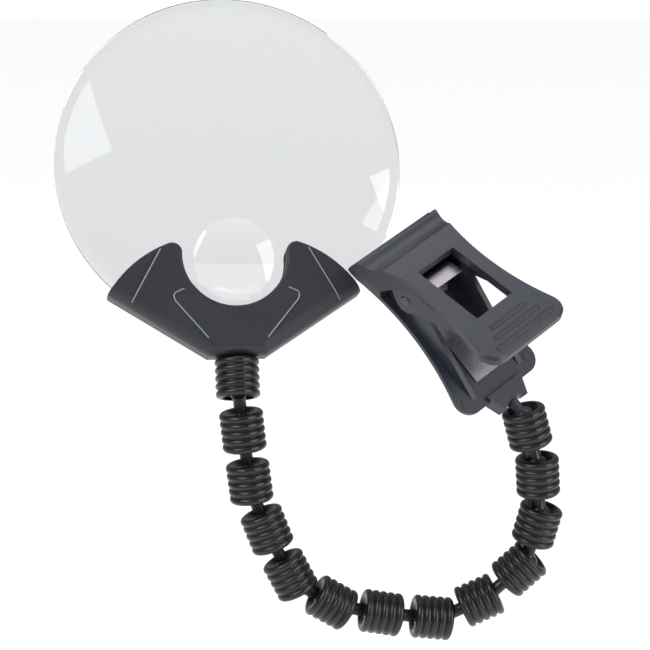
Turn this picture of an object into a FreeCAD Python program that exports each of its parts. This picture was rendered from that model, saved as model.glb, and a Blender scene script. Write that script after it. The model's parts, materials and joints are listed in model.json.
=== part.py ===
import FreeCAD, Part
import os
from math import acos, atan2, cos, pi, radians, sin, sqrt, tan

# Helping hands magnifier: a rimless clear lens in a plastic holder, a neck of ball-and-socket
# links, and a spring clip. Millimetres, +Z up. The origin is the middle of the clip's grip.
os.makedirs("parts", exist_ok=True)

V = FreeCAD.Vector
X, Y, Z = V(1, 0, 0), V(0, 1, 0), V(0, 0, 1)

# ---- lens ----
LENS_R = 57.0
LENS_RIM = 2.6          # thickness of the flat rim
LENS_RIM_WIDTH = 2.4
LENS_DOME = 4.3         # rise of each face from the rim to the middle
SPOT_R = 13.2           # small strong lens moulded into the front face
SPOT_DROP = 32.5        # its centre, below the lens centre
SPOT_RISE = 2.2

# ---- lens holder ----
HOLDER_T = 15.0         # front to back
HOLDER_FOOT = 64.6      # bottom face, below the lens centre
FOOT_HALF = 9.4
TIP_LOW = (41.4, 44.1)  # outer end of each arm: out, and below the lens centre
TIP_HIGH = (38.6, 40.7)
ARM_BACK = (30.2, 32.6)
HORN_HIGH = 26.4        # where an arm's back would meet the notch, before it is rounded
HORN_ROUND = 3.2
NOTCH_R = 17.0
NOTCH_DROP = 31.8
FOOT_ROUND = 5.0        # rounding of the lower edges, front and back
EDGE_ROUND = 0.8
PANEL_RISE = 0.45       # raised middle panel
ARM_STEP = 0.5          # each arm's end sits this much lower
SEAM = 0.04             # half the gap between the two shells
SCREW_R = 1.2
SCREW_HEAD_R = 2.2
SCREW_HEAD_T = 1.4
SCREW_OUT = 10.4
SCREW_UP = 4.6          # above the holder's foot

# ---- neck links ----
LINK_R = 7.2
LINK_L = 12.8
RIBS = 5
BALL_R = 4.0
BALL_FIT = 0.08         # running clearance of a ball in its socket
STEM_R = 2.1
SOCKET_IN = 3.6         # ball centre inside the open end
STEM_OUT = 8.1          # ball centre beyond the stem end
LIP = 1.45              # the socket closes over the ball up to here
TILT = 36.0             # the mouth lets the stem lean this far
DISH_R = 4.9            # shallow dish round the foot of the stem
DISH_DEPTH = 1.3
HEAD_GAP = 0.3          # first link to holder
BALL_UP = HOLDER_FOOT + HEAD_GAP - STEM_OUT     # the first link's ball, below the lens centre
BITE_WALL = 1.2         # holder plastic between that ball and the lens, which has a bite for it

# ---- clip ----
CLIP_ANGLE = 22.6       # between the two handles, jaws shut
UPPER_L = 58.3
LOWER_L = 61.8
JAW_HALF = 19.8
WAIST_HALF = 14.4
TAIL_HALF = 20.5
WAIST_AT = 31.0
TAIL_CORNER = 5.5
PLATE_T = 3.0
HANDLE_BEVEL = 0.9
FLOOR_T = 2.4
FLOOR_Z = -2.3          # inner face of the lower handle
JAW_GAP = 0.1           # half the gap between the shut jaws
JAW_L = 12.0
UPPER_Z = 6.4           # plane of the upper handle's back, above the grip at the jaw
PIVOT_X, PIVOT_Z = 20.0, 5.6
PIN_R = 2.0
PIN_FIT = 0.06
PIN_END = 0.4           # the pin stands out this much on each side
LUG_R = 4.3
WEB_T = 1.8
LOWER_WEB = 10.5        # inner face of the lower handle's webs
WEB_GAP = 0.3
WINDOW = (16.5, 42.0, 8.35)
FINGER_RIBS = (15.0, 19.5, 25.0)
FINGER_PITCH = 3.5
FINGER_EDGE = 3.6
SPRING_T = 0.5
SPRING_HALF = 7.0
SPRING_WRAP = 3.3       # radius of the strip round the pin
SPRING_LEG = 30.0
SPRING_LIP = 4.6
STUD_OUT = 11.0         # ball centre beyond the lower handle's end
STUD_Z = -3.5
STUD_HALF = (8.2, 4.6)
STUD_T = 5.4

# ---- the pose: each link leans to the right of straight down, and into the scene ----
LEAN = (3, 6, 7, 21, 27, 58, 78, 82, 115, 134, 166, 184, 195)
DEPTH = (-23, 0, 0, 0, 0, 6, 9, 8, 2, -3, -5, -5, -5)
LENS_TURN = 10
CLIP_YAW, CLIP_PITCH, CLIP_ROLL = -21.5, 48.5, 34.5


def turn(axis, angle):
    return FreeCAD.Rotation(axis, angle)


def placed(shape, origin, rotation):
    out = shape.copy()
    out.Placement = FreeCAD.Placement(origin, rotation).multiply(shape.Placement)
    return out


def face_of(edges):
    return Part.Face(Part.Wire(edges))


def polygon(points):
    return Part.Face(Part.makePolygon(points + points[:1]))


def line(a, b):
    return Part.LineSegment(a, b).toShape()


def arc(a, b, c):
    return Part.Arc(a, b, c).toShape()


def revolved(edges):
    return face_of(edges).revolve(V(), Z, 360)


def exact(shape):
    solids = shape.removeSplitter().Solids
    return solids[0] if len(solids) == 1 else Part.makeCompound(solids)


def export(name, shape):
    for solid in shape.Solids:
        if not solid.isValid():
            raise ValueError(name + " isn't a valid solid")
    shape.exportStep("parts/" + name + ".step")
    print(name, len(shape.Solids), round(shape.Volume, 1))


# ---- neck link, ball centre of its own socket at the origin, stem end up ----
def ball_seat():
    """What a ball needs inside a link: the socket, and the cone that its stem swings in."""
    seat_r = BALL_R + BALL_FIT
    lip_r = sqrt(seat_r**2 - LIP**2)
    mouth_r = SOCKET_IN * tan(radians(TILT)) + STEM_R / cos(radians(TILT)) + 0.1
    beyond = 0.5
    flare = mouth_r + beyond * (mouth_r - lip_r) / (SOCKET_IN - LIP)
    cone = Part.makeCone(lip_r, flare, SOCKET_IN - LIP + beyond, V(0, 0, -LIP), -Z)
    return Part.makeSphere(seat_r).fuse(cone)


def barrel():
    """The ribbed outside of a link, from its open end up."""
    pitch = LINK_L / RIBS
    rib_r = pitch / 2
    bed_r = LINK_R - rib_r
    low = -SOCKET_IN
    edges = [line(V(0, 0, low), V(bed_r, 0, low))]
    for i in range(RIBS):
        z = low + i * pitch
        groove = 0.13
        start = V(bed_r if i == 0 else bed_r + 0.55, 0, z if i == 0 else z + groove)
        end = V(bed_r if i == RIBS - 1 else bed_r + 0.55, 0, z + pitch - (0 if i == RIBS - 1 else groove))
        edges.append(arc(start, V(LINK_R, 0, z + pitch / 2), end))
        if i < RIBS - 1:
            edges.append(line(end, V(end.x, 0, end.z + 2 * groove)))
    top = low + LINK_L
    edges.append(line(V(bed_r, 0, top), V(DISH_R, 0, top)))
    edges.append(line(V(DISH_R, 0, top), V(STEM_R + 0.7, 0, top - DISH_DEPTH)))
    edges.append(line(V(STEM_R + 0.7, 0, top - DISH_DEPTH), V(0, 0, top - DISH_DEPTH)))
    edges.append(line(V(0, 0, top - DISH_DEPTH), V(0, 0, low)))
    return revolved(edges)


def stem(foot, ball_at):
    """A stem from height foot to the ball at ball_at, flared at both ends."""
    neck = sqrt(BALL_R**2 - (STEM_R + 0.35) ** 2)
    edges = [
        line(V(0, 0, foot - 0.5), V(STEM_R + 0.7, 0, foot - 0.5)),
        line(V(STEM_R + 0.7, 0, foot - 0.5), V(STEM_R + 0.7, 0, foot)),
        line(V(STEM_R + 0.7, 0, foot), V(STEM_R, 0, foot + 0.9)),
        line(V(STEM_R, 0, foot + 0.9), V(STEM_R, 0, ball_at - neck - 0.5)),
        line(V(STEM_R, 0, ball_at - neck - 0.5), V(STEM_R + 0.35, 0, ball_at - neck)),
        arc(V(STEM_R + 0.35, 0, ball_at - neck), V(BALL_R, 0, ball_at), V(0, 0, ball_at + BALL_R)),
        line(V(0, 0, ball_at + BALL_R), V(0, 0, foot - 0.5)),
    ]
    return revolved(edges)


LINK_TOP = LINK_L - SOCKET_IN
LINK_PITCH = LINK_TOP + STEM_OUT


def neck_link():
    return exact(barrel().cut(ball_seat()).fuse(stem(LINK_TOP - DISH_DEPTH, LINK_PITCH)))


# ---- lens, its centre at the origin, front towards -Y ----
def dome_radius(rise, reach):
    return (reach**2 + rise**2) / (2 * rise)


def lens():
    inner = LENS_R - LENS_RIM_WIDTH
    half = LENS_RIM / 2
    bend = dome_radius(LENS_DOME, inner)
    low = V(0, 0, -half)
    mid_r = inner / 2
    mid_z = half + LENS_DOME - bend + sqrt(bend**2 - mid_r**2)
    edges = [
        arc(V(0, 0, half + LENS_DOME), V(mid_r, 0, mid_z), V(inner, 0, half)),
        line(V(inner, 0, half), V(LENS_R, 0, half)),
        line(V(LENS_R, 0, half), V(LENS_R, 0, -half)),
        line(V(LENS_R, 0, -half), V(inner, 0, -half)),
        arc(V(inner, 0, -half), V(mid_r, 0, -mid_z), V(0, 0, low.z - LENS_DOME)),
        line(V(0, 0, low.z - LENS_DOME), V(0, 0, half + LENS_DOME)),
    ]
    disc = revolved(edges)
    # the spot lens is a cap of a smaller sphere, square to the face where it stands
    spot_bend = dome_radius(SPOT_RISE, SPOT_R)
    slope = atan2(SPOT_DROP, bend)
    normal = V(0, -sin(slope), cos(slope))
    seat = V(0, -SPOT_DROP, half + LENS_DOME - bend + sqrt(bend**2 - SPOT_DROP**2))
    sag = bend - sqrt(bend**2 - SPOT_R**2)
    ball = Part.makeSphere(spot_bend, seat + normal * (SPOT_RISE - sag - spot_bend))
    collar = Part.makeCylinder(SPOT_R + 0.6, 8, seat - normal * 4, normal)
    bite = Part.makeCylinder(BALL_R + BALL_FIT + BITE_WALL, 40, V(0, -BALL_UP, -20), Z)
    return exact(placed(disc.fuse(ball.common(collar)).cut(bite), V(), turn(X, 90)))


# ---- lens holder, same frame as the lens ----
def flat_in(edge, y):
    return abs(edge.BoundBox.YMin - y) < 1e-4 and abs(edge.BoundBox.YMax - y) < 1e-4


def holder_block():
    """The outline, from the foot round both arms and the notch, as a slab with round horns."""
    foot = [V(side * FOOT_HALF, 0, -HOLDER_FOOT) for side in (-1, 1)]
    horn_out = sqrt(NOTCH_R**2 - (NOTCH_DROP - HORN_HIGH) ** 2)
    horns = [V(side * horn_out, 0, -HORN_HIGH) for side in (-1, 1)]
    edges = [line(*foot), arc(horns[0], V(0, 0, -NOTCH_DROP - NOTCH_R), horns[1])]
    for side, ankle, horn in ((-1, foot[0], horns[0]), (1, foot[1], horns[1])):
        low, high, back = [V(side * p[0], 0, -p[1]) for p in (TIP_LOW, TIP_HIGH, ARM_BACK)]
        edges += [line(ankle, low), line(low, high), arc(high, back, horn)]
    slab = Part.Face(Part.Wire(Part.__sortEdges__(edges))).extrude(Y * HOLDER_T)
    slab.translate(Y * (-HOLDER_T / 2))
    tops = [e for e in slab.Edges if e.BoundBox.YLength > 1 and abs(e.BoundBox.ZMax + HORN_HIGH) < 1e-3]
    return slab.makeFillet(HORN_ROUND, tops)


def holder_body():
    body = holder_block()
    half = HOLDER_T / 2
    low = [e for e in body.Edges if (flat_in(e, half) or flat_in(e, -half)) and on_underside(e)]
    body = body.makeFillet(FOOT_ROUND, low)
    high = [e for e in body.Edges if (flat_in(e, half) or flat_in(e, -half)) and on_topside(e)]
    return body.makeFillet(EDGE_ROUND, high)


def on_underside(edge):
    """The foot and the straight lower sides of the arms."""
    middle = edge.valueAt((edge.FirstParameter + edge.LastParameter) / 2)
    run, rise = TIP_LOW[0] - FOOT_HALF, HOLDER_FOOT - TIP_LOW[1]
    slant = (abs(middle.x) - FOOT_HALF) * rise - (middle.z + HOLDER_FOOT) * run
    return abs(middle.z + HOLDER_FOOT) < 1e-3 or abs(slant) < 1e-2


def on_topside(edge):
    """The notch, the horns and the backs of the arms."""
    middle = edge.valueAt((edge.FirstParameter + edge.LastParameter) / 2)
    return edge.Curve.TypeId == "Part::GeomCircle" and middle.z > -NOTCH_DROP - NOTCH_R - 1e-3


def panel_face():
    """The middle panel: from the notch down to the foot, round at its upper corners."""
    top, wide, foot = 43.6, 20.6, 7.8
    deep = HOLDER_FOOT - 3.0
    start = NOTCH_R * 0.86
    return polygon(
        [V(-start, 0, -top + 2), V(-wide + 3, 0, -top), V(-wide, 0, -top - 1.6), V(-wide + 0.9, 0, -top - 3.6),
         V(-foot, 0, -deep), V(foot, 0, -deep), V(wide - 0.9, 0, -top - 3.6), V(wide, 0, -top - 1.6),
         V(wide - 3, 0, -top), V(start, 0, -top + 2)]
    )


def arm_end(side):
    """Space over the end of an arm, outside its step line."""
    return polygon([V(side * x, 0, -z) for x, z in ((22.4, 27.0), (34.4, 48.6), (46.0, 52.0), (46.0, 27.0))])


def holder_shell(front):
    """One half of the holder, with its seats for the lens, the first ball and the screws."""
    half = HOLDER_T / 2
    out = -1 if front else 1
    shell = holder_body()
    for side in (1, -1):
        slab = arm_end(side).extrude(Y * (out * 2.0))
        slab.translate(Y * (out * (half - ARM_STEP)))
        shell = shell.cut(slab)
    if front:
        raised = holder_body()
        raised.translate(Y * -PANEL_RISE)
        keep = panel_face().extrude(Y * -HOLDER_T)
        shell = shell.fuse(raised.common(keep))
    room = Part.makeBox(120, HOLDER_T, 80, V(-60, -HOLDER_T - SEAM if front else SEAM, -75))
    shell = shell.common(room)
    seat = lens()
    ball = V(0, 0, -BALL_UP)
    shell = shell.cut(seat).cut(Part.makeSphere(BALL_R + BALL_FIT, ball))
    shell = shell.cut(Part.makeCylinder(STEM_R + 0.8, 20, ball, -Z))
    for side in (1, -1):
        at = V(side * SCREW_OUT, 0, SCREW_UP - HOLDER_FOOT)
        hole = Part.makeCylinder(SCREW_R + 0.05, half + 4.0, at - Y * 4.0, Y)
        head = Part.makeCylinder(SCREW_HEAD_R + 0.15, 6, at + Y * (half - SCREW_HEAD_T - 0.6), Y)
        shell = shell.cut(hole).cut(head)
    return exact(shell)


def holder_screws():
    half = HOLDER_T / 2
    screws = []
    for side in (1, -1):
        at = V(side * SCREW_OUT, 0, SCREW_UP - HOLDER_FOOT)
        seat = half - SCREW_HEAD_T - 0.6
        shank = Part.makeCylinder(SCREW_R, seat + 3.6, at - Y * 3.6, Y)
        head = Part.makeCylinder(SCREW_HEAD_R, SCREW_HEAD_T, at + Y * seat, Y)
        slots = []
        for angle in (45, 135):
            bar = Part.makeBox(2.6, 0.8, 0.5, V(-1.3, -0.8, -0.25))
            slots.append(placed(bar, at + Y * (seat + SCREW_HEAD_T), turn(Y, angle)))
        screws.append(exact(shank.fuse(head).cut(slots[0]).cut(slots[1])))
    return Part.makeCompound(screws)


# ---- clip, in the lower handle's frame: X towards the tail, Z up through the jaws ----
def plan(length, low, high, worn):
    """Hourglass outline of a handle, as a prism from low to high with one end face bevelled."""
    edges = [line(V(-3, JAW_HALF, 0), V(-3, -JAW_HALF, 0)), line(V(length, TAIL_HALF, 0), V(length, -TAIL_HALF, 0))]
    for side in (1, -1):
        waist = V(WAIST_AT, side * WAIST_HALF, 0)
        edges.append(arc(V(-3, side * JAW_HALF, 0), waist, V(length, side * TAIL_HALF, 0)))
    prism = Part.Face(Part.Wire(Part.__sortEdges__(edges))).extrude(Z * (high - low))
    prism.translate(Z * low)
    corners = [e for e in prism.Edges if e.BoundBox.ZLength > 1 and e.BoundBox.XMax > WAIST_AT]
    prism = prism.makeFillet(TAIL_CORNER, corners)
    rim = [e for e in prism.Edges if abs(e.BoundBox.ZMin - worn) < 1e-4 and abs(e.BoundBox.ZMax - worn) < 1e-4]
    return prism.makeChamfer(HANDLE_BEVEL, rim)


def extruded(points, y_from, y_to):
    """A plate with this outline in XZ, between two values of Y."""
    plate = polygon([V(x, 0, z) for x, z in points]).extrude(Y * (y_to - y_from))
    plate.translate(Y * y_from)
    return plate


def both_webs(points, inner):
    outer = inner + WEB_T
    return extruded(points, inner, outer).fuse(extruded(points, -outer, -inner))


def to_upper(x, z):
    """A point of the lower handle's frame, in the upper handle's own frame."""
    a = radians(CLIP_ANGLE)
    return x * cos(a) + (z - UPPER_Z) * sin(a), -x * sin(a) + (z - UPPER_Z) * cos(a)


def cross_bar(x, z, radius, half):
    return Part.makeCylinder(radius, 2 * half, V(x, -half, z), Y)


UPPER_WEB = LOWER_WEB + WEB_T + WEB_GAP


def lower_handle():
    bottom = FLOOR_Z - FLOOR_T
    side = [(0, -JAW_GAP), (JAW_L, -JAW_GAP), (JAW_L + 1.6, FLOOR_Z), (LOWER_L, FLOOR_Z),
            (LOWER_L, bottom), (8, bottom), (1.4, -3.0), (0, -2.2)]
    plate = extruded(side, -30, 30).common(plan(LOWER_L, bottom, 30, bottom))
    web = [(JAW_L - 0.5, FLOOR_Z - 0.5), (JAW_L + 3.6, PIVOT_Z + 1.0), (PIVOT_X, PIVOT_Z + LUG_R),
           (PIVOT_X + 3.4, PIVOT_Z + 2.6), (LOWER_L - 4.0, FLOOR_Z), (LOWER_L - 4.0, FLOOR_Z - 0.5)]
    lug = cross_bar(PIVOT_X, PIVOT_Z, LUG_R, LOWER_WEB + WEB_T)
    gap = Part.makeBox(80, 2 * LOWER_WEB, 60, V(0, -LOWER_WEB, FLOOR_Z))
    handle = plate.fuse(both_webs(web, LOWER_WEB)).fuse(lug.cut(gap))
    handle = handle.cut(cross_bar(PIVOT_X, PIVOT_Z, PIN_R + 0.02, 30))
    for side_y in (1, -1):
        spot = V(LOWER_L - 4.6, side_y * (TAIL_HALF - 5.4), FLOOR_Z - 0.2)
        handle = handle.fuse(Part.makeCylinder(1.6, 0.4, spot))
    return exact(handle.fuse(tail_stud()))


def mouth_reach():
    """How far a link's open end gets from its socket centre as it leans, with room to spare."""
    rib_r = LINK_L / RIBS / 2
    return sqrt((SOCKET_IN - rib_r) ** 2 + (LINK_R - rib_r) ** 2) + rib_r + 0.3


def tail_stud():
    """The block at the lower handle's tail, and the ball that the last link turns on."""
    ball_x = LOWER_L + STUD_OUT
    wide, narrow = STUD_HALF
    block = polygon([V(LOWER_L - 2, -wide, 0), V(LOWER_L - 2, wide, 0), V(ball_x - 4.5, narrow, 0),
                     V(ball_x - 4.5, -narrow, 0)]).extrude(Z * STUD_T)
    block.translate(Z * (STUD_Z - STUD_T / 2))
    notch = Part.makeCylinder(mouth_reach(), 20, V(ball_x, 0, -15), Z)
    block = block.cut(notch)
    foot = 0.2 - mouth_reach()
    pin = placed(stem(foot, 0), V(ball_x, 0, STUD_Z), turn(Y, 90))
    return block.fuse(pin)


def upper_handle():
    heel_x, heel_z = to_upper(JAW_L, JAW_GAP)
    tip_x, tip_z = to_upper(0.6, JAW_GAP)
    top = [V(tip_x, 0, tip_z), V(-0.9, 0, -3.9), V(1.0, 0, -2.5), V(2.4, 0, -2.7), V(8.4, 0, -0.7)]
    edges = [
        line(top[0], top[1]),
        arc(top[1], V(-0.35, 0, -2.9), top[2]),
        line(top[2], top[3]),
        arc(top[3], V(5.9, 0, -2.3), top[4]),
        line(top[4], V(14.6, 0, 0)),
        line(V(14.6, 0, 0), V(UPPER_L, 0, 0)),
        line(V(UPPER_L, 0, 0), V(UPPER_L, 0, -PLATE_T)),
        line(V(UPPER_L, 0, -PLATE_T), V(16.3, 0, -PLATE_T)),
        line(V(16.3, 0, -PLATE_T), V(heel_x, 0, heel_z)),
        line(V(heel_x, 0, heel_z), top[0]),
    ]
    body = face_of(edges).extrude(Y * 60)
    body.translate(Y * -30)
    body = body.common(plan(UPPER_L, -30, 0, 0))
    from_x, to_x, half = WINDOW
    body = body.cut(Part.makeBox(to_x - from_x, 2 * half, 20, V(from_x, -half, -PLATE_T - 0.5)))
    for i, length in enumerate(FINGER_RIBS):
        x = UPPER_L - FINGER_EDGE - FINGER_PITCH * (len(FINGER_RIBS) - 1 - i)
        bar = cross_bar(x, -0.35, 0.95, length / 2)
        ends = [Part.makeSphere(0.95, V(x, s * length / 2, -0.35)) for s in (1, -1)]
        body = body.fuse(bar.fuse(ends[0]).fuse(ends[1]))
    pivot_x, pivot_z = to_upper(PIVOT_X, PIVOT_Z)
    web = [(9.6, -4.4), (pivot_x - 3.6, pivot_z - 2.4), (pivot_x + 1.0, pivot_z - LUG_R + 0.1),
           (pivot_x + 4.0, pivot_z - 2.2), (46.0, -PLATE_T), (46.0, -PLATE_T + 0.6), (10.0, -PLATE_T + 0.6)]
    lug = cross_bar(pivot_x, pivot_z, LUG_R, UPPER_WEB + WEB_T)
    gap = Part.makeBox(80, 2 * UPPER_WEB, 60, V(0, -UPPER_WEB, -PLATE_T - 60))
    webs = both_webs(web, UPPER_WEB).fuse(lug.cut(gap))
    body = body.fuse(webs).cut(cross_bar(pivot_x, pivot_z, PIN_R + PIN_FIT, 30))
    return exact(placed(body, V(0, 0, UPPER_Z), turn(Y, -CLIP_ANGLE)))


def pivot_pin():
    half = UPPER_WEB + WEB_T + PIN_END
    pin = cross_bar(PIVOT_X, PIVOT_Z, PIN_R, half)
    return pin.makeChamfer(0.3, [e for e in pin.Edges if e.BoundBox.YLength < 1e-6])


def meet(p, d, q, e):
    """Where the line through p along d meets the line through q along e, in XZ."""
    k = ((q.x - p.x) * e.z - (q.z - p.z) * e.x) / (d.x * e.z - d.z * e.x)
    return p + d * k


def leaf_spring():
    """A steel strip: a long leg on the lower handle's floor, a turn round the pin, a short leg."""
    h = SPRING_T / 2
    pin = V(PIVOT_X, 0, PIVOT_Z)
    bend = V(PIVOT_X + 4.0, 0, FLOOR_Z + 0.02 + h)
    reach = (bend - pin).Length
    towards = atan2(bend.z - pin.z, bend.x - pin.x)
    touch = towards - acos(SPRING_WRAP / reach)
    up = radians(90 + CLIP_ANGLE)

    def around(r, a):
        return pin + V(cos(a), 0, sin(a)) * r

    rise = around(SPRING_WRAP, touch) - bend
    rise.normalize()
    away = V(cos(touch), 0, sin(touch))
    leg = V(cos(radians(CLIP_ANGLE)), 0, sin(radians(CLIP_ANGLE)))
    tail = bend + X * SPRING_LEG
    middle = (touch + 2 * pi + up) / 2
    sides = []
    for s in (-h, h):
        corner = meet(tail - Z * s, -X, around(SPRING_WRAP + s, touch), rise)
        first, last = around(SPRING_WRAP + s, touch), around(SPRING_WRAP + s, up)
        sides.append((tail - Z * s, corner, first, around(SPRING_WRAP + s, middle), last, last + leg * SPRING_LIP))
    edges = []
    for tail_s, corner, first, mid, last, end in sides:
        edges += [line(tail_s, corner), line(corner, first), arc(first, mid, last), line(last, end)]
    edges.append(line(sides[0][0], sides[1][0]))
    edges.append(line(sides[0][5], sides[1][5]))
    strip = Part.Face(Part.Wire(Part.__sortEdges__(edges))).extrude(Y * (2 * SPRING_HALF))
    strip.translate(Y * -SPRING_HALF)
    return exact(strip)


# ---- assembly, from the clip along the neck to the lens ----
def link_turn(lean, depth):
    return turn(Y, -lean).multiply(turn(X, depth))


CLIP_TURN = FreeCAD.Rotation(CLIP_YAW, CLIP_PITCH, CLIP_ROLL)

for name, shape in (
    ("clip_lower", lower_handle()),
    ("clip_upper", upper_handle()),
    ("clip_pin", pivot_pin()),
    ("clip_spring", leaf_spring()),
):
    export(name, placed(shape, V(), CLIP_TURN))

joint = CLIP_TURN.multVec(V(LOWER_L + STUD_OUT, 0, STUD_Z))
link = neck_link()
for number in range(len(LEAN), 0, -1):
    rotation = link_turn(LEAN[number - 1], DEPTH[number - 1])
    print("joint at", [round(c, 3) for c in joint], "axis", [round(c, 4) for c in rotation.multVec(Z)])
    export("link_%02d" % number, placed(link, joint, rotation))
    joint = joint + rotation.multVec(Z) * LINK_PITCH

HOLDER_TURN = rotation.multiply(turn(Z, LENS_TURN))
centre = joint + HOLDER_TURN.multVec(Z) * BALL_UP
print("holder ball at", [round(c, 3) for c in joint], "lens centre", [round(c, 3) for c in centre])
for name, shape in (
    ("lens", lens()),
    ("holder_front", holder_shell(True)),
    ("holder_rear", holder_shell(False)),
    ("holder_screws", holder_screws()),
):
    export(name, placed(shape, centre, HOLDER_TURN))
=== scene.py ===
# %% [markdown]
# # Helping hands magnifier
# A clear acrylic lens stands in a black two-armed holder. A neck of thirteen ball-and-socket links
# joins it to a spring clip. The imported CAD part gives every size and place, so it is loaded first as
# a fixed frame. The looks are then built around it: some pieces are modelled again with finer detail,
# and the rest keep their CAD shape and get the finish of the real material.

# %% Load the frame
import json
from math import acos, cos, pi, radians, sin, sqrt, tan

import bmesh
import bpy
from mathutils import Matrix, Vector


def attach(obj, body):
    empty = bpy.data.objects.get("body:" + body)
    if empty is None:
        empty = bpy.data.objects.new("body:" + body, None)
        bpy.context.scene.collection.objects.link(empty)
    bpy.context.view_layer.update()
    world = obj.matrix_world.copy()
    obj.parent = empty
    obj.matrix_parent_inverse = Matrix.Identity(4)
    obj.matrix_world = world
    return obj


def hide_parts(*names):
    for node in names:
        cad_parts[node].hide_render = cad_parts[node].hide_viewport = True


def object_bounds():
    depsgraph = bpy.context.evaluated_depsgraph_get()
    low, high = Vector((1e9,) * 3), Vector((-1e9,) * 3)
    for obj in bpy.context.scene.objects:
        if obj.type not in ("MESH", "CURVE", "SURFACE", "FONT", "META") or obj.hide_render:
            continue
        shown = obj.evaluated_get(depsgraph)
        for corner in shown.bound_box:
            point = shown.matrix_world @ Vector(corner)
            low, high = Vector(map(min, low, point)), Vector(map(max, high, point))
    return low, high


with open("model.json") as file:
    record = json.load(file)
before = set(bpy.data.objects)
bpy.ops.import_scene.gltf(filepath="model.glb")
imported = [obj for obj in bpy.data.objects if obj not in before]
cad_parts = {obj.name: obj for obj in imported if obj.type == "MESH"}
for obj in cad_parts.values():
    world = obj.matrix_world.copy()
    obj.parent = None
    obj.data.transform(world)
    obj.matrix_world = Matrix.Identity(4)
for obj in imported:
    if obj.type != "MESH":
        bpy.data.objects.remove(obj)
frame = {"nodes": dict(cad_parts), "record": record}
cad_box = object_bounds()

MM = 0.001
scene = bpy.context.scene
joints = {joint["name"]: joint for joint in frame["record"]["behaviour"]["joints"]}

# %% [markdown]
# ## Camera
# The tool is seen from the front and a little above, from about 65 cm, through a long lens. A long
# lens keeps the lens disc and the clip in their true proportions. A wide lens close by would swell
# whatever is nearest.

# %% Camera
CAMERA_AT = Vector((-0.0212, -0.6521, 0.1100))
CAMERA_DOWN = radians(12)
FOCAL_MM, SENSOR_MM = 112.5, 36
NEAREST = 0.02

camera = bpy.data.objects.new("camera", bpy.data.cameras.new("camera"))
scene.collection.objects.link(camera)
camera.location = CAMERA_AT
camera.rotation_euler = (pi / 2 - CAMERA_DOWN, 0, 0)
camera.data.lens = FOCAL_MM
camera.data.sensor_width = SENSOR_MM
camera.data.clip_start = NEAREST
scene.camera = camera
print("camera", camera.data.lens, "mm")

# %% [markdown]
# ## Colour and node helpers
# Colours are picked as the eye sees them, in sRGB hex. Shaders work in linear light, so one function
# turns a hex value linear. A second small function adds a node, sets what it is given, and links its
# inputs, which keeps each material short enough to read as a recipe.


# %% Colour and node helpers
def linear(hex_colour):
    """An sRGB hex colour as the linear RGBA that shaders use."""
    channels = [int(hex_colour[i:i + 2], 16) / 255 for i in (1, 3, 5)]
    return [c / 12.92 if c <= 0.04045 else ((c + 0.055) / 1.055) ** 2.4 for c in channels] + [1.0]


def add(tree, kind, settings=None, **inputs):
    """Adds one node. Inputs go by name, or as i0, i1 by number. A socket is linked, a value is set."""
    node = tree.nodes.new(kind)
    for name, value in (settings or {}).items():
        setattr(node, name, value)
    for name, value in inputs.items():
        by_number = name[1:].isdigit()
        socket = node.inputs[int(name[1:]) if by_number else name.replace("_", " ")]
        if isinstance(value, bpy.types.NodeSocket):
            tree.links.new(value, socket)
        else:
            socket.default_value = value
    return node


def new_material(name, **values):
    """A material with its shader, its surface position, and the shader's uniform values set."""
    material = bpy.data.materials.new(name)
    material.use_nodes = True
    tree = material.node_tree
    shader = tree.nodes["Principled BSDF"]
    for key, value in values.items():
        shader.inputs[key.replace("_", " ")].default_value = value
    place = add(tree, "ShaderNodeTexCoord").outputs["Object"]
    return material, tree, shader, place


def mixed_colour(tree, amount, first, second):
    """The two colours, mixed by a pattern that runs from 0 to 1."""
    ramp = add(tree, "ShaderNodeValToRGB", i0=amount)
    ramp.color_ramp.elements[0].color = linear(first)
    ramp.color_ramp.elements[1].color = linear(second)
    return ramp.outputs["Color"]


def remapped(tree, amount, low, high):
    """A pattern that runs from 0 to 1, made to run from low to high."""
    return add(tree, "ShaderNodeMapRange", Value=amount, To_Min=low, To_Max=high).outputs["Result"]


# %% [markdown]
# ## Moulded plastics
# The holder, the links and the clip are injection moulded, each from a dark ABS or nylon. What tells
# them apart is how the steel mould was finished. The holder's mould was spark-eroded, which leaves a
# fine even grain and a soft sheen. The links' mould was polished, so their ribs catch sharp lights.
# The clip's is between the two, in a charcoal that looks lighter where it faces the light.
#
# The grain could be an image, but noise on Object coordinates needs no picture and never stretches.
# Its scale comes from the real size: one grain each 0.35 mm is 1000 / 0.35 grains a metre. A second,
# slow noise of a few centimetres gives the faint cloudiness that flow and handling leave. Round specks
# about twice as coarse are added to the grain, which is coarser than a real mould's so that it shows.


# %% Moulded plastics
SPECK_SIZE = 2.2        # specks, in grains
CLOUD_MM = 18.0


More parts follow.
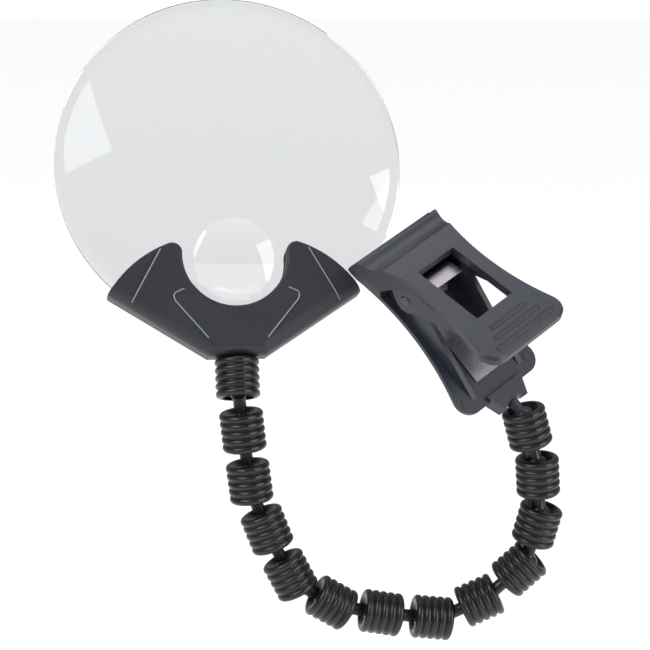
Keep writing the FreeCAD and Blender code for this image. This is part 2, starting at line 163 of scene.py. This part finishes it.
def moulded_plastic(name, dark, light, gloss, grain_mm, height_mm):
    """A dark moulded plastic. gloss is the pair of roughness values that the clouding moves between."""
    material, tree, shader, place = new_material(name, IOR=1.5, Specular_IOR_Level=0.36)
    cloud = add(tree, "ShaderNodeTexNoise", Vector=place, Scale=1 / (CLOUD_MM * MM), Detail=3.0)
    grain = add(tree, "ShaderNodeTexNoise", Vector=place, Scale=1 / (grain_mm * MM), Detail=2.0)
    speck = add(tree, "ShaderNodeTexVoronoi", Vector=place, Scale=1 / (SPECK_SIZE * grain_mm * MM))
    both = add(tree, "ShaderNodeMath", {"operation": "ADD"},
               i0=grain.outputs["Fac"], i1=speck.outputs["Distance"])
    tree.links.new(mixed_colour(tree, cloud.outputs["Fac"], dark, light), shader.inputs["Base Color"])
    tree.links.new(remapped(tree, cloud.outputs["Fac"], *gloss), shader.inputs["Roughness"])
    bump = add(tree, "ShaderNodeBump", Strength=0.5, Distance=height_mm * MM, Height=both.outputs["Value"])
    tree.links.new(bump.outputs["Normal"], shader.inputs["Normal"])
    return material


holder_plastic = moulded_plastic("spark-eroded black ABS", "#15171c", "#20222a", (0.42, 0.52), 0.35, 0.05)
# The edge beads get a far lighter grey than the holder: a painted highlight for the light line that a
# moulded round edge catches.
edge_highlight_plastic = moulded_plastic("black ABS painted lighter as an edge highlight", "#5c6069", "#6c7079", (0.30, 0.36), 0.35, 0.02)
link_plastic = moulded_plastic("polished black nylon", "#0c0a0b", "#171214", (0.26, 0.36), 0.8, 0.02)
clip_plastic = moulded_plastic("satin charcoal nylon", "#1b1d24", "#272a34", (0.33, 0.43), 0.45, 0.03)
print("plastics", [m.name for m in (holder_plastic, edge_highlight_plastic, link_plastic, clip_plastic)])

# %% [markdown]
# ## Steel
# The spring is rolled strip, so it carries fine lines along its length. The lines are a noise that is
# squeezed hard in one direction. The mapping first turns that direction onto the strip. The pin and
# the screws are drawn and blackened wire, with no lines worth drawing. A metal keeps the default IOR,
# because its colour comes from the metallic value and the base colour.


# %% Steel
STEEL_HEIGHT_MM = 0.02


def steel(name, dark, light, gloss, grain_mm, squeeze=(1, 1, 1), turn=(0, 0, 0)):
    """A steel whose grain is turned and squeezed, and moves the roughness between the gloss values."""
    material, tree, shader, place = new_material(name, Metallic=1.0)
    mapped = add(tree, "ShaderNodeMapping", Vector=place, Rotation=turn, Scale=squeeze)
    grain = add(tree, "ShaderNodeTexNoise", Vector=mapped.outputs["Vector"],
                Scale=1 / (grain_mm * MM), Detail=3.0)
    tree.links.new(mixed_colour(tree, grain.outputs["Fac"], dark, light), shader.inputs["Base Color"])
    tree.links.new(remapped(tree, grain.outputs["Fac"], *gloss), shader.inputs["Roughness"])
    bump = add(tree, "ShaderNodeBump", Strength=0.3, Distance=STEEL_HEIGHT_MM * MM,
               Height=grain.outputs["Fac"])
    tree.links.new(bump.outputs["Normal"], shader.inputs["Normal"])
    return material


CLIP_TURN = (radians(34.5), radians(48.5), radians(-21.5))
LINES = (0.05, 1, 1)    # the grain is twenty times longer along the strip
spring_steel = steel("rolled spring steel", "#6f6a70", "#98939b", (0.22, 0.42), 0.5, LINES, CLIP_TURN)
pin_steel = steel("drawn steel pin", "#3d3d42", "#5a5a60", (0.3, 0.45), 1.5)
screw_steel = steel("blackened screw steel", "#1f1f22", "#333338", (0.35, 0.5), 0.8)
print("steels", [m.name for m in (spring_steel, pin_steel, screw_steel)])

# %% [markdown]
# ## Clear acrylic
# Cast or moulded acrylic is colourless, bends light with an IOR of 1.49, and is glass smooth. Two
# things keep it from looking like nothing at all: a very slow waviness that bends reflections, and a
# haze of fine wiping marks that varies the roughness. Both are far too faint to see as a pattern. The
# base colour is a little grey. This is a painted shade for the darker surroundings that a lens shows in a
# studio, so that the lens stands out from a pale floor.

# %% Clear acrylic
# The grey base colour is painted shade, because clear acrylic has no colour of its own.
clear_acrylic, tree, shader, place = new_material(
    "polished clear acrylic", IOR=1.49, Transmission_Weight=1.0, Base_Color=linear("#e3e5e7"))
HAZE_MM, WAVE_MM, WAVE_HEIGHT_MM = 9, 30, 0.05
haze = add(tree, "ShaderNodeTexNoise", Vector=place, Scale=1 / (HAZE_MM * MM), Detail=4.0)
tree.links.new(remapped(tree, haze.outputs["Fac"], 0.0, 0.03), shader.inputs["Roughness"])
wave = add(tree, "ShaderNodeTexNoise", Vector=place, Scale=1 / (WAVE_MM * MM), Detail=0.0)
ripple = add(tree, "ShaderNodeBump", Strength=0.2, Distance=WAVE_HEIGHT_MM * MM,
             Height=wave.outputs["Fac"])
tree.links.new(ripple.outputs["Normal"], shader.inputs["Normal"])
print("clear", clear_acrylic.name)

# %% [markdown]
# ## Turned shapes
# A lens and a neck link are both round, so each is drawn as half of its section and spun once round
# its axis. Spinning needs only a chain of edges, and the same helper serves both. The spin's last
# step meets the first, so its doubles are merged, which also closes the poles. The normals are then
# made to point outwards, and edges that turn sharply are marked so that smooth shading stops there.

# %% Turned shapes
SHARP = radians(32)     # shading stops at an edge that turns more than this
MERGE_MM = 0.001


def curve_points(centre, radius, start, end, steps):
    """Points on an arc in the section, as (out, up) pairs. Angles are in radians."""
    angles = [start + (end - start) * i / steps for i in range(steps + 1)]
    return [(centre[0] + radius * cos(a), centre[1] + radius * sin(a)) for a in angles]


def turned(section, steps):
    """A mesh from a section of (out, up) points in millimetres, spun about Z."""
    mesh = bmesh.new()
    points = [mesh.verts.new((out * MM, 0, up * MM)) for out, up in section]
    for first, second in zip(points, points[1:]):
        mesh.edges.new((first, second))
    bmesh.ops.spin(mesh, geom=mesh.verts[:] + mesh.edges[:], axis=(0, 0, 1), cent=(0, 0, 0),
                   angle=2 * pi, steps=steps, use_merge=True)
    bmesh.ops.remove_doubles(mesh, verts=mesh.verts[:], dist=MERGE_MM * MM)
    bmesh.ops.recalc_face_normals(mesh, faces=mesh.faces[:])
    return mesh


def finished(mesh, name, material, place=None):
    """Turns a bmesh into an object whose place is in its mesh."""
    if place is not None:
        mesh.transform(place)
    for face in mesh.faces:
        face.smooth = True
    for edge in mesh.edges:
        edge.smooth = edge.calc_face_angle(0) < SHARP
    data = bpy.data.meshes.new(name)
    mesh.to_mesh(data)
    mesh.free()
    piece = bpy.data.objects.new(name, data)
    scene.collection.objects.link(piece)
    data.materials.append(material)
    print(name, len(data.polygons), "faces")
    return piece


# %% [markdown]
# ## Lens
# The lens is a biconvex disc with a flat rim, and a spot lens of stronger curve stands low on its
# front. The disc could be a scaled sphere, but then the rim would be missing, and the rim is what
# draws the bright double line round the edge. So the section runs over the front dome, across the
# rim with a small worn corner, and back over the rear dome. The spot lens is a cap spun on its own
# and joined by a Boolean, which leaves the crisp round edge that a moulded one has.

# %% Lens
LENS_R, RIM_T, RIM_WIDTH, DOME = 57.0, 2.6, 2.4, 4.3
SPOT_R, SPOT_DROP, SPOT_RISE = 13.2, 32.5, 2.2
CORNER = 0.25           # worn corner of the rim
SPOT_SKIRT = 0.6        # the spot lens's cap runs on this far under the front dome
SPOT_DEEP = 3.4
LENS_STEPS, DOME_STEPS, SPOT_STEPS, CAP_STEPS = 160, 40, 96, 20

inner = LENS_R - RIM_WIDTH
half = RIM_T / 2
bend = (inner**2 + DOME**2) / (2 * DOME)
dome_low = half + DOME - bend
dome = curve_points((0, dome_low), bend, pi / 2, acos(inner / bend), DOME_STEPS)
dome[0] = (0, half + DOME)
rim = [(LENS_R - CORNER, half), (LENS_R, half - CORNER)]
front = dome + rim
disc = turned(front + [(out, -up) for out, up in reversed(front)], LENS_STEPS)

spot_bend = (SPOT_R**2 + SPOT_RISE**2) / (2 * SPOT_RISE)
spot_seat = dome_low + sqrt(bend**2 - SPOT_DROP**2)
spot_sag = bend - sqrt(bend**2 - SPOT_R**2)
skirt_r = SPOT_R + SPOT_SKIRT
cap = curve_points((0, SPOT_RISE - spot_sag - spot_bend), spot_bend, pi / 2,
                   acos(skirt_r / spot_bend), CAP_STEPS)
cap[0] = (0, SPOT_RISE - spot_sag)
spot = turned(cap + [(skirt_r, -SPOT_DEEP), (0, -SPOT_DEEP)], SPOT_STEPS)
lean = Matrix.Rotation(acos(sqrt(bend**2 - SPOT_DROP**2) / bend), 4, "X")
spot.transform(Matrix.Translation((0, -SPOT_DROP * MM, spot_seat * MM)) @ lean)

# The disc was spun about Z and faces up, so it is stood up to face the front, and then put in place.
swivel = joints["lens_swivel"]
BALL_TO_LENS = 56.8
LENS_LEAN, LENS_BACK, LENS_TURN = radians(-3), radians(-23), radians(10)
lens_turn = (Matrix.Rotation(LENS_LEAN, 4, "Y") @ Matrix.Rotation(LENS_BACK, 4, "X")
             @ Matrix.Rotation(LENS_TURN, 4, "Z"))
lens_centre = Vector(swivel["pos_m"]) + lens_turn.to_3x3() @ Vector((0, 0, BALL_TO_LENS * MM))
lens_place = Matrix.Translation(lens_centre) @ lens_turn @ Matrix.Rotation(pi / 2, 4, "X")

lens = finished(disc, "acrylic_lens", clear_acrylic)
spot_piece = finished(spot, "spot_tool", clear_acrylic)
union = lens.modifiers.new("spot", "BOOLEAN")
union.operation = "UNION"
union.object = spot_piece
joined = bmesh.new()
joined.from_object(lens, bpy.context.evaluated_depsgraph_get())
bpy.data.objects.remove(spot_piece)
bpy.data.objects.remove(lens)
lens = finished(joined, "lens_clear", clear_acrylic, lens_place)
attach(lens, "lens_head")
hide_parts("lens")
print("lens centre", [round(c, 4) for c in lens_centre])

# %% [markdown]
# ## Neck links
# Each link is a barrel with five rounded ribs, a socket in one end, and a stem with a ball on the
# other. The section starts at the socket's lip and goes over its seat to the top. A straight run takes
# it out to the mouth, and it then goes up the ribs, into the dish, up the stem and over the ball. The
# lip stays an open edge, and the next link's ball hides it and the straight run.
#
# A two-part mould leaves a fine raised line along both sides of a link. It is made by lifting one
# column of points by 0.13 mm, which catches the light as the real one does. A bump in the material
# couldn't change the outline.

# %% Neck links
LINK_R, LINK_L, RIBS = 7.2, 12.8, 5
BALL_R, BALL_FIT, STEM_R = 4.0, 0.08, 2.1
SOCKET_IN, STEM_OUT, LIP, TILT = 3.6, 8.1, 1.45, radians(36)
DISH_R, DISH_DEPTH, DISH_EDGE = 4.9, 1.3, (0.25, 0.15)
FOOT_FLARE, FOOT_FLAT, FOOT_RISE = 0.7, 0.2, 0.9
MOUTH_ROOM = 0.1
RIB_TURN = 1.12         # a rib's arc stops here, in radians, and leaves a groove to the next
BALL_START, NECK_BELOW = 0.92, 3.7      # where the stem meets the ball, in radians and millimetres
BARREL_FROM = 6.0       # the mould line runs on what is farther out than this
LINE_HEIGHT, LINE_HALF = 0.13, 0.01
LINE_TURN = Vector((0.35, -1, 0.1))     # the mould line's side, forward and a little to the right
LINKS = 13
LINK_STEPS, RIB_STEPS, BALL_STEPS, SOCKET_STEPS = 96, 12, 20, 18


def link_section():
    """Half of a link's section: its seat from the lip to the top, then from the mouth to the ball."""
    rib_r = LINK_L / RIBS / 2
    bed = LINK_R - rib_r
    top = LINK_L - SOCKET_IN
    seat_r = BALL_R + BALL_FIT
    lip_r = sqrt(seat_r**2 - LIP**2)
    mouth_r = SOCKET_IN * tan(TILT) + STEM_R / cos(TILT) + MOUTH_ROOM
    seat = curve_points((0, 0), seat_r, pi / 2, -acos(lip_r / seat_r), SOCKET_STEPS)
    seat[0] = (0, seat_r)
    points = seat[::-1] + [(mouth_r, -SOCKET_IN)]
    for i in range(RIBS):
        middle = -SOCKET_IN + (2 * i + 1) * rib_r
        first = -pi / 2 if i == 0 else -RIB_TURN
        last = pi / 2 if i == RIBS - 1 else RIB_TURN
        points += curve_points((bed, middle), rib_r, first, last, RIB_STEPS)
    foot, dish = STEM_R + FOOT_FLARE, top - DISH_DEPTH
    points += [(DISH_R, top), (DISH_R - DISH_EDGE[0], top - DISH_EDGE[1])]
    points += [(foot + FOOT_FLAT, dish), (foot, dish), (STEM_R, dish + FOOT_RISE)]
    points.append((STEM_R, top + STEM_OUT - NECK_BELOW))
    points += curve_points((0, top + STEM_OUT), BALL_R, -BALL_START, pi / 2, BALL_STEPS)
    points[-1] = (0, points[-1][1])
    return points


def link_place(at, towards):
    """A place with Z along the link and X as near as it gets to the front."""
    up = towards.normalized()
    out = (LINE_TURN - up * LINE_TURN.dot(up)).normalized()
    turn = Matrix((out, up.cross(out), up)).transposed().to_4x4()
    return Matrix.Translation(at) @ turn


def neck_link(name, at, towards):
    """One link with its socket's centre at a point, and its stem towards the next."""
    mesh = turned(link_section(), LINK_STEPS)
    for vert in mesh.verts:
        out = Vector((vert.co.x, vert.co.y, 0))
        if out.length > BARREL_FROM * MM and abs(vert.co.y) < LINE_HALF * MM:
            vert.co += out.normalized() * (LINE_HEIGHT * MM)
    return finished(mesh, name, link_plastic, link_place(at, towards))


ball_at = {number: Vector(joints["neck_%02d" % number]["pos_m"]) for number in range(1, LINKS + 1)}
ball_at[0] = Vector(swivel["pos_m"])
for number in range(LINKS, 0, -1):
    node = "link_%02d" % number
    link = neck_link("neck_" + node, ball_at[number], ball_at[number - 1] - ball_at[number])
    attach(link, node)
    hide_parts(node)

# %% [markdown]
# ## Moulded edge lines on the holder
# Each arm steps down near its end, and a raised panel fills the middle. A mould leaves a small round
# on such an edge, which draws a thin light line. A bevel on the CAD mesh could give it, but that mesh
# isn't changed, so a fine bead is laid along each edge. A curve with a round bevel makes the bead,
# and it dives with the holder's rounded lower edge, where the step does too. The bead is coloured a
# much lighter grey than the holder, which is a painted highlight for that light line.

# %% Moulded edge lines on the holder
HOLDER_HALF, FOOT_ROUND, PANEL_RISE = 7.5, 5.0, 0.45
BEAD_R, BEAD_ROUND = 0.26, 3
SUNK = 0.12             # the bead's middle lies this far inside the face
BEAD_MERGE_MM = 0.002
LOWER_EDGE = ((9.4, 64.6), (41.4, 44.1))
STEP_LINE, STEP_LINE_STEPS = ((24.0, 29.9), (34.0, 47.9)), 24
PANEL = [(16.8, 43.1), (18.2, 43.7), (19.8, 44.5), (20.3, 45.4), (19.9, 47.0), (8.0, 61.2)]
PANEL_STEPS = 8


def edge_depth(out, down, face):
    """How far forward the holder's front stands at a point, over its rounded lower edge."""
    (x0, z0), (x1, z1) = LOWER_EDGE
    run, fall = x1 - x0, z0 - z1
    inside = ((out - x0) * -fall + (z0 - down) * run) / sqrt(run**2 + fall**2)
    inside = min(inside, z0 - down)
    short = max(0.0, FOOT_ROUND - inside)
    return face - FOOT_ROUND + sqrt(max(0.0, FOOT_ROUND**2 - short**2))


def bead(name, corners, face, steps):
    """A thin bead along corners given as (out, down) in millimetres, on the holder's front."""
    path = []
    for (x0, z0), (x1, z1) in zip(corners, corners[1:]):
        for i in range(steps):
            out, down = x0 + (x1 - x0) * i / steps, z0 + (z1 - z0) * i / steps
            path.append((out, -edge_depth(abs(out), down, face) + SUNK, -down))
    curve = bpy.data.curves.new(name, "CURVE")
    curve.dimensions = "3D"
    curve.bevel_depth = BEAD_R * MM
    curve.bevel_resolution = BEAD_ROUND
    curve.use_fill_caps = True
    line = curve.splines.new("POLY")
    line.points.add(len(path) - 1)
    for point, place_mm in zip(line.points, path):
        point.co = (*(Vector(place_mm) * MM), 1)
    return bpy.data.objects.new(name, curve)


holder_place = Matrix.Translation(lens_centre) @ lens_turn
lines = bmesh.new()
for side in (1, -1):
    step = [(side * x, z) for x, z in STEP_LINE]
    panel = [(side * x, z) for x, z in PANEL]
    for part in (bead("step", step, HOLDER_HALF, STEP_LINE_STEPS),
                 bead("panel", panel, HOLDER_HALF + PANEL_RISE, PANEL_STEPS)):
        scene.collection.objects.link(part)
        shaped = part.evaluated_get(bpy.context.evaluated_depsgraph_get())
        lines.from_mesh(bpy.data.meshes.new_from_object(shaped))
        bpy.data.objects.remove(part)
bmesh.ops.remove_doubles(lines, verts=lines.verts[:], dist=BEAD_MERGE_MM * MM)
# The beads take the lighter grey plastic, which is a painted highlight.
edge_lines = finished(lines, "holder_edge_lines", edge_highlight_plastic, holder_place)
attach(edge_lines, "lens_head")

# %% [markdown]
# ## Finishes on the CAD pieces
# The holder, the clip, the pin, the spring and the screws already have the right shape, with
# their bevels and steps cut as solids. They keep it and only take their finish.

# %% Finishes on the CAD pieces
finishes = {
    "holder_front": holder_plastic,
    "holder_rear": holder_plastic,
    "holder_screws": screw_steel,
    "clip_lower": clip_plastic,
    "clip_upper": clip_plastic,
    "clip_pin": pin_steel,
    "clip_spring": spring_steel,
}
for node, material in finishes.items():
    for slot in frame["nodes"][node].material_slots:
        slot.material = material
print("finishes", {node: material.name for node, material in finishes.items()})

# %% [markdown]
# ## Studio
# The clip holds the tool up, so the pale floor lies far enough below for the neck to hang down
# straight. The air above it is as pale, so no horizon shows. Dark plastic is drawn by what it
# reflects, so the lights are large soft boxes: one high on the left, one low on the right, and one
# above. The air is white to the eye, through the lens and to matte surfaces. Mirror reflections see a
# dimmer air, which real air can't be, but it keeps the black plastics black without a dark backdrop.

# %% Studio
FLOOR_HALF = 9.0
HANG_ROOM = 0.33        # from the tool's lowest point at rest down to the floor
FIBRES_PER_M = 60.0
SEEN, REFLECTED = 1.07, 0.40
LAMPS = (
    # name, place, size and watts
    ("key", (-0.75, -0.75, 0.75), (0.8, 0.8), 11),
    ("fill", (0.9, -0.55, 0.25), (0.6, 0.9), 8),
    ("top", (0.0, 0.15, 1.1), (0.8, 0.5), 4),
)

low, high = cad_box
floor_mesh = bmesh.new()
bmesh.ops.create_grid(floor_mesh, x_segments=1, y_segments=1, size=FLOOR_HALF)
bmesh.ops.translate(floor_mesh, vec=(0, 0, low[2] - HANG_ROOM), verts=floor_mesh.verts[:])
paper, tree, shader, place = new_material("matte white paper", Roughness=0.9)
fibre = add(tree, "ShaderNodeTexNoise", Vector=place, Scale=FIBRES_PER_M, Detail=2.0)
tree.links.new(mixed_colour(tree, fibre.outputs["Fac"], "#f6f6f6", "#fbfbfb"), shader.inputs["Base Color"])
floor = finished(floor_mesh, "floor", paper)

world = bpy.data.worlds.new("studio")
world.use_nodes = True
scene.world = world
sky = world.node_tree
path = add(sky, "ShaderNodeLightPath")
mirrored = add(sky, "ShaderNodeMath", {"operation": "SUBTRACT", "use_clamp": True},
               i0=path.outputs["Is Glossy Ray"], i1=path.outputs["Is Transmission Ray"])
level = remapped(sky, mirrored.outputs["Value"], SEEN, REFLECTED)
sky.links.new(level, sky.nodes["Background"].inputs["Strength"])
sky.nodes["Background"].inputs["Color"].default_value = (1, 1, 1, 1)


def soft_box(name, at, towards, size, watts):
    """A rectangular lamp that faces a point."""
    lamp = bpy.data.lights.new(name, "AREA")
    lamp.shape = "RECTANGLE"
    lamp.size, lamp.size_y = size
    lamp.energy = watts
    box = bpy.data.objects.new(name, lamp)
    scene.collection.objects.link(box)
    box.location = at
    box.rotation_euler = (Vector(towards) - Vector(at)).to_track_quat("-Z", "Y").to_euler()
    return box


middle = (low + high) / 2
for name, at, size, watts in LAMPS:
    print("lamp", soft_box(name, at, middle, size, watts).name, watts, "W")
scene.view_settings.view_transform = "Standard"
